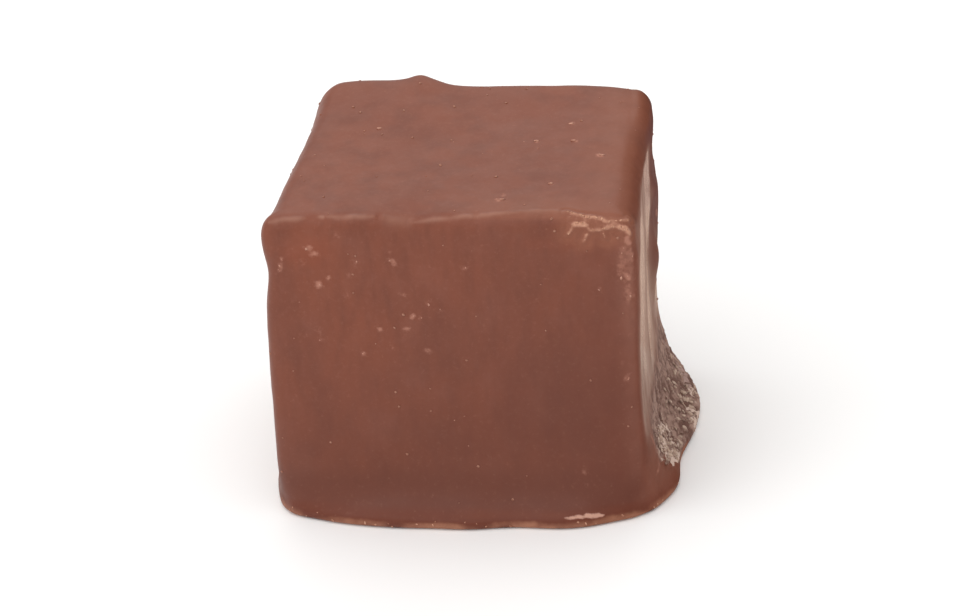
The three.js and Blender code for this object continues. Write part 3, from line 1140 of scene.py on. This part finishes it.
def fine_relief(tree):
    pits = grains(tree, 0.22, detail=2, roughness=0.5)
    ripples = grains(tree, 2.4, detail=2, shift=(7, 7, 0))
    pit_depth = ramp(tree, read_mask(tree, "sheen_streak"), 0, 1, 0.09, 0.02)
    surface = calculate(tree, "ADD", times(tree, pits, pit_depth), ripples)
    bump = node(tree, "ShaderNodeBump", {"Height": surface, "Strength": 0.18, "Distance": 0.08 * MM})
    return bump.outputs[0]


print("sheen ready")


# %% Give the coat its finish
def finish_chocolate():
    material, tree, shader = new_finish("milk_chocolate_finish")
    brown, stripes = side_colour(tree, body_colour(tree))
    brown, broken = marked_colour(tree, brown)
    dusted = flaky(tree, read_mask(tree, "flare"), 1.0, 0.70, 1.30, (1, 8, 2))
    brown = flare_colour(tree, brown, dusted)
    tree.links.new(brown, shader.inputs["Base Color"])
    tree.links.new(sheen(tree, dusted, broken["scuffed"], stripes), shader.inputs["Roughness"])
    tree.links.new(fine_relief(tree), shader.inputs["Normal"])
    shader.inputs["Specular IOR Level"].default_value = 0.32
    shader.inputs["IOR"].default_value = COCOA_IOR
    return material


coat.data.materials.clear()
coat.data.materials.append(finish_chocolate())
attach(coat, "root")
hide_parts("coated_delight")
print("coat finished")

# %% [markdown]
# ## Bits stuck to the coat
#
# Under a lens the coat carries hundreds of tiny bits: pale flecks of sugar and cocoa butter all
# over, flakes in the scuffs, splinters along the cracks, crumbs on the torn flare, and chips along
# the rim of the foot. Each is a small irregular lump pressed into the surface.
#
# Particles would be quick, but they are lost when the model leaves Blender. So one helper makes
# real lumps: it takes a small ball of 20 triangles, pulls its points in and out by seeded dice,
# flattens it, turns it to lie on the skin and sinks it in a little. All the lumps of a kind are one
# mesh.


# %% A small ball, and how a lump lies
def rough_ball():
    """The points and triangles of a small ball."""
    cells = bmesh.new()
    bmesh.ops.create_icosphere(cells, subdivisions=1, radius=1.0)
    points = np.array([tuple(v.co) for v in cells.verts])
    triangles = np.array([[v.index for v in face.verts] for face in cells.faces])
    cells.free()
    return points, triangles


def lie_on(outwards, along):
    """The turn that lays a lump flat on the skin with its length along a way."""
    side = outwards.cross(along).normalized()
    return Matrix((side.cross(outwards), side, outwards)).transposed()


def any_way(dice):
    return Vector(dice.normal(size=3))


print("ball of", len(rough_ball()[1]), "triangles")


# %% Lay all the lumps of a kind
def lay_bits(name, spots, dice):
    """One mesh of irregular lumps. A spot is a place, ways out and along, length, breadth, thickness."""
    ball, triangles = rough_ball()
    points = []
    faces = []
    for place, outwards, along, length, breadth, thickness in spots:
        jagged = ball * dice.uniform(0.65, 1.15, (len(ball), 1))
        shaped = (jagged * (length, breadth, thickness)) @ np.array(lie_on(outwards, along)).T
        middle = np.array(place) + np.array(outwards) * thickness * 0.3
        faces.append(triangles + len(ball) * len(points))
        points.append(shaped + middle)
    mesh = bpy.data.meshes.new(name)
    mesh.from_pydata((np.concatenate(points) * MM).tolist(), [], np.concatenate(faces).tolist())
    mesh.shade_smooth()
    piece = bpy.data.objects.new(name, mesh)
    scene.collection.objects.link(piece)
    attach(piece, "root")
    return piece


print("lumps can be laid")


# %% Spots all over the skin
def spots_over(count, density, dice, size_of):
    """Seeded spots all over the skin, thinned out by a density between 0 and 1 for each place."""
    mesh = coat.data
    mesh.calc_loop_triangles()
    corners = np.empty(len(mesh.loop_triangles) * 3, dtype=np.int32)
    mesh.loop_triangles.foreach_get("vertices", corners)
    a, b, c = places[corners.reshape(-1, 3)].transpose(1, 0, 2)
    across = np.cross(b - a, c - a)
    area = np.linalg.norm(across, axis=1)
    weight = area * density((a + b + c) / 3, across / area[:, None])
    picks = dice.choice(len(area), size=count, p=weight / weight.sum())
    spots = []
    for pick in picks:
        share = dice.dirichlet((1, 1, 1))
        place = share @ np.array([a[pick], b[pick], c[pick]])
        spots.append((place, Vector(across[pick]).normalized(), any_way(dice), *size_of(dice)))
    return spots


print("cells to land on:", len(coat.data.polygons))

# %% [markdown]
# ### A finish for pale bits
#
# Sugar and broken chocolate scatter light, so a bit is matt and mottled in two shades. One shared
# function makes it, with the two shades and the size of the mottle for each kind.


# %% Make a finish for bits
def finish_bits(name, first, second, grain_mm):
    material, tree, shader = new_finish(name)
    mottle = ramp(tree, grains(tree, grain_mm, detail=3), 0.38, 0.62)
    shade = mix_colour(tree, mottle, first, second)
    tree.links.new(shade, shader.inputs["Base Color"])
    tree.links.new(ramp(tree, mottle, 0, 1, 0.55, 0.75), shader.inputs["Roughness"])
    rough = grains(tree, grain_mm * 0.4, detail=3, shift=(4, 2, 6))
    bump = node(tree, "ShaderNodeBump", {"Height": rough, "Strength": 0.3, "Distance": 0.02 * MM})
    tree.links.new(bump.outputs[0], shader.inputs["Normal"])
    shader.inputs["Specular IOR Level"].default_value = 0.15
    shader.inputs["IOR"].default_value = COCOA_IOR
    return material


print("bits can be finished")

# %% [markdown]
# ### Pale flecks
#
# The flecks are spread evenly by area. Most are about 0.2 mm across; a few are short dashes. They
# thin out towards the tray, where the foot covered them, and keep off the front part of the right
# wall, where the coat set smoothest.

# %% Scatter the pale flecks
FLECKS = 190


def fleck_size(dice):
    radius = 0.06 + 0.08 * dice.random() ** 1.5
    stretch = 1 + 0.9 * dice.random() ** 4
    return radius * stretch, radius, radius * 0.45


def all_over(middles, outwards):
    x, y, z = middles.T
    return rise(z, 0.2, 2.5) * (outwards[:, 2] > -0.5) * (1 - rise(x, 11.2, 11.8) * rise(y, 4.0, 3.0))


dice = np.random.default_rng(7)
fleck_spots = spots_over(FLECKS, all_over, dice, fleck_size)
flecks = lay_bits("pale_flecks", fleck_spots, dice)
flecks.data.materials.append(
    finish_bits("pale_fleck_finish", colour(0.28, 0.118, 0.078), colour(0.40, 0.200, 0.138), 0.15)
)
print("flecks:", len(flecks.data.polygons), "triangles")

# %% [markdown]
# ### Flakes in the scuffs, splinters on the cracks
#
# Where the coat was rubbed or split, thin flakes stand on it. They lie thickest in the middle of
# each scuff and all along the thin cracks, a few of them long and narrow. A handful of dashes that
# stand out on the top are listed.

# %% Lay flakes and splinters
TOP_DASHES = [(6.9, 3.2), (4.6, 0.6), (7.3, 0.5), (9.4, -1.8), (6.3, -5.8), (-6.6, 2.2), (3.0, -8.1)]
DASH_SIZE = (0.24, 0.12, 0.05)
THIN_CRACK = 0.26


def around(middle, spread, dice):
    """The skin's place and way out near a middle."""
    place, outwards, _, _ = skin.find_nearest(Vector(middle) + Vector(dice.normal(0, spread, 3)))
    return place, outwards


def flakes_on(dots, step, share, dice):
    """Flakes on every few of the dots, sized by the dot's breadth and laid along its line."""
    spots = []
    for (before, _, _), (dot, breadth, paleness) in zip(dots[::step], dots[step - 1::step]):
        if dice.random() > paleness:
            continue
        size = breadth * share * dice.uniform(0.7, 1.3)
        along = (dot - before) + any_way(dice) * 0.05
        place, outwards = around(dot, breadth * 0.35, dice)
        spots.append((place, outwards, along, size * dice.uniform(1.1, 2.0), size, size * 0.3))
    return spots


dice = np.random.default_rng(19)
rubbed_spots = flakes_on(scuff_dots, 3, 0.36, dice) + flakes_on(bruise_dots, 6, 0.22, dice)
for across, along in TOP_DASHES:
    place, outwards = around((across, along, height_mm), 0.02, dice)
    rubbed_spots.append((place, outwards, Vector((1, 0.2, 0)), *DASH_SIZE))
scuff_flakes = lay_bits("scuff_flakes", rubbed_spots, dice)
thin_dots = [dot for dot in crack_dots if dot[1] < THIN_CRACK]
splinters = lay_bits("crack_splinters", flakes_on(thin_dots, 2, 0.40, dice), dice)
scuff_flakes.data.materials.append(
    finish_bits("scuff_flake_finish", colour(0.40, 0.185, 0.130), colour(0.54, 0.29, 0.215), 0.2)
)
splinters.data.materials.append(
    finish_bits("splinter_finish", colour(0.42, 0.19, 0.12), colour(0.60, 0.33, 0.225), 0.2)
)
print("flakes and splinters:", len(scuff_flakes.data.polygons) + len(splinters.data.polygons), "triangles")

# %% [markdown]
# ### Crumbs on the torn flare
#
# The flare on the right was torn off its neighbour with sugar on it, so it is rough: dull flat
# crumbs, densest at its front end, and a little denser along its outer rim than between.

# %% Strew crumbs on the flare
CRUMBS = 260


def crumb_size(dice):
    radius = 0.09 + 0.16 * dice.random() ** 2
    return radius * dice.uniform(1.0, 1.8), radius, radius * 0.4


def over_flare(middles, outwards):
    x, y, z = middles.T
    lowest = 0.8 + 0.6 * rise(y, -4.4, -5.6)
    whole = rise(x, 12.3, 12.9) * rise(z, 7.0, 3.0) * rise(z, 0.5, 1.2) * rise(outwards[:, 2], 0.1, 0.3)
    whole *= rise(y, -7.4, -6.4) * rise(y, 9.5, 7.5)
    whole *= 1 - rise(y, -1.5, -3.0) * rise(z, lowest + 0.5, lowest)
    front_end = beside(y + 4.8, 1.7) * rise(z, 4.6, 3.4)
    outer_rim = rise(y, -1.2, 0.2) * rise(y, 7.0, 5.0) * rise(x, 13.5, 14.3)
    return whole * (0.12 + np.maximum(1.3 * front_end, 0.3 * outer_rim))


dice = np.random.default_rng(31)
crumbs = lay_bits("flare_crumbs", spots_over(CRUMBS, over_flare, dice, crumb_size), dice)
crumbs.data.materials.append(
    finish_bits("flare_crumb_finish", colour(0.27, 0.165, 0.13), colour(0.56, 0.41, 0.32), 0.6)
)
print("crumbs:", len(crumbs.data.polygons), "triangles")

# %% [markdown]
# ### Chips along the rim of the foot
#
# The foot's rim is thin and brittle, and chips all round.

# %% Lay the chips
CHIPS = 80


def chip_size(dice):
    breadth = dice.uniform(0.03, 0.08)
    return breadth * dice.uniform(1.2, 2.6), breadth, breadth * 0.5


def along_rim(middles, outwards):
    return rise(middles[:, 2], 0.9, 0.55) * rise(middles[:, 2], 0.1, 0.3)


dice = np.random.default_rng(43)
chips = lay_bits("foot_chips", spots_over(CHIPS, along_rim, dice, chip_size), dice)
chips.data.materials.append(
    finish_bits("foot_chip_finish", colour(0.40, 0.18, 0.11), colour(0.60, 0.34, 0.235), 0.25)
)
print("chips:", len(chips.data.polygons), "triangles")
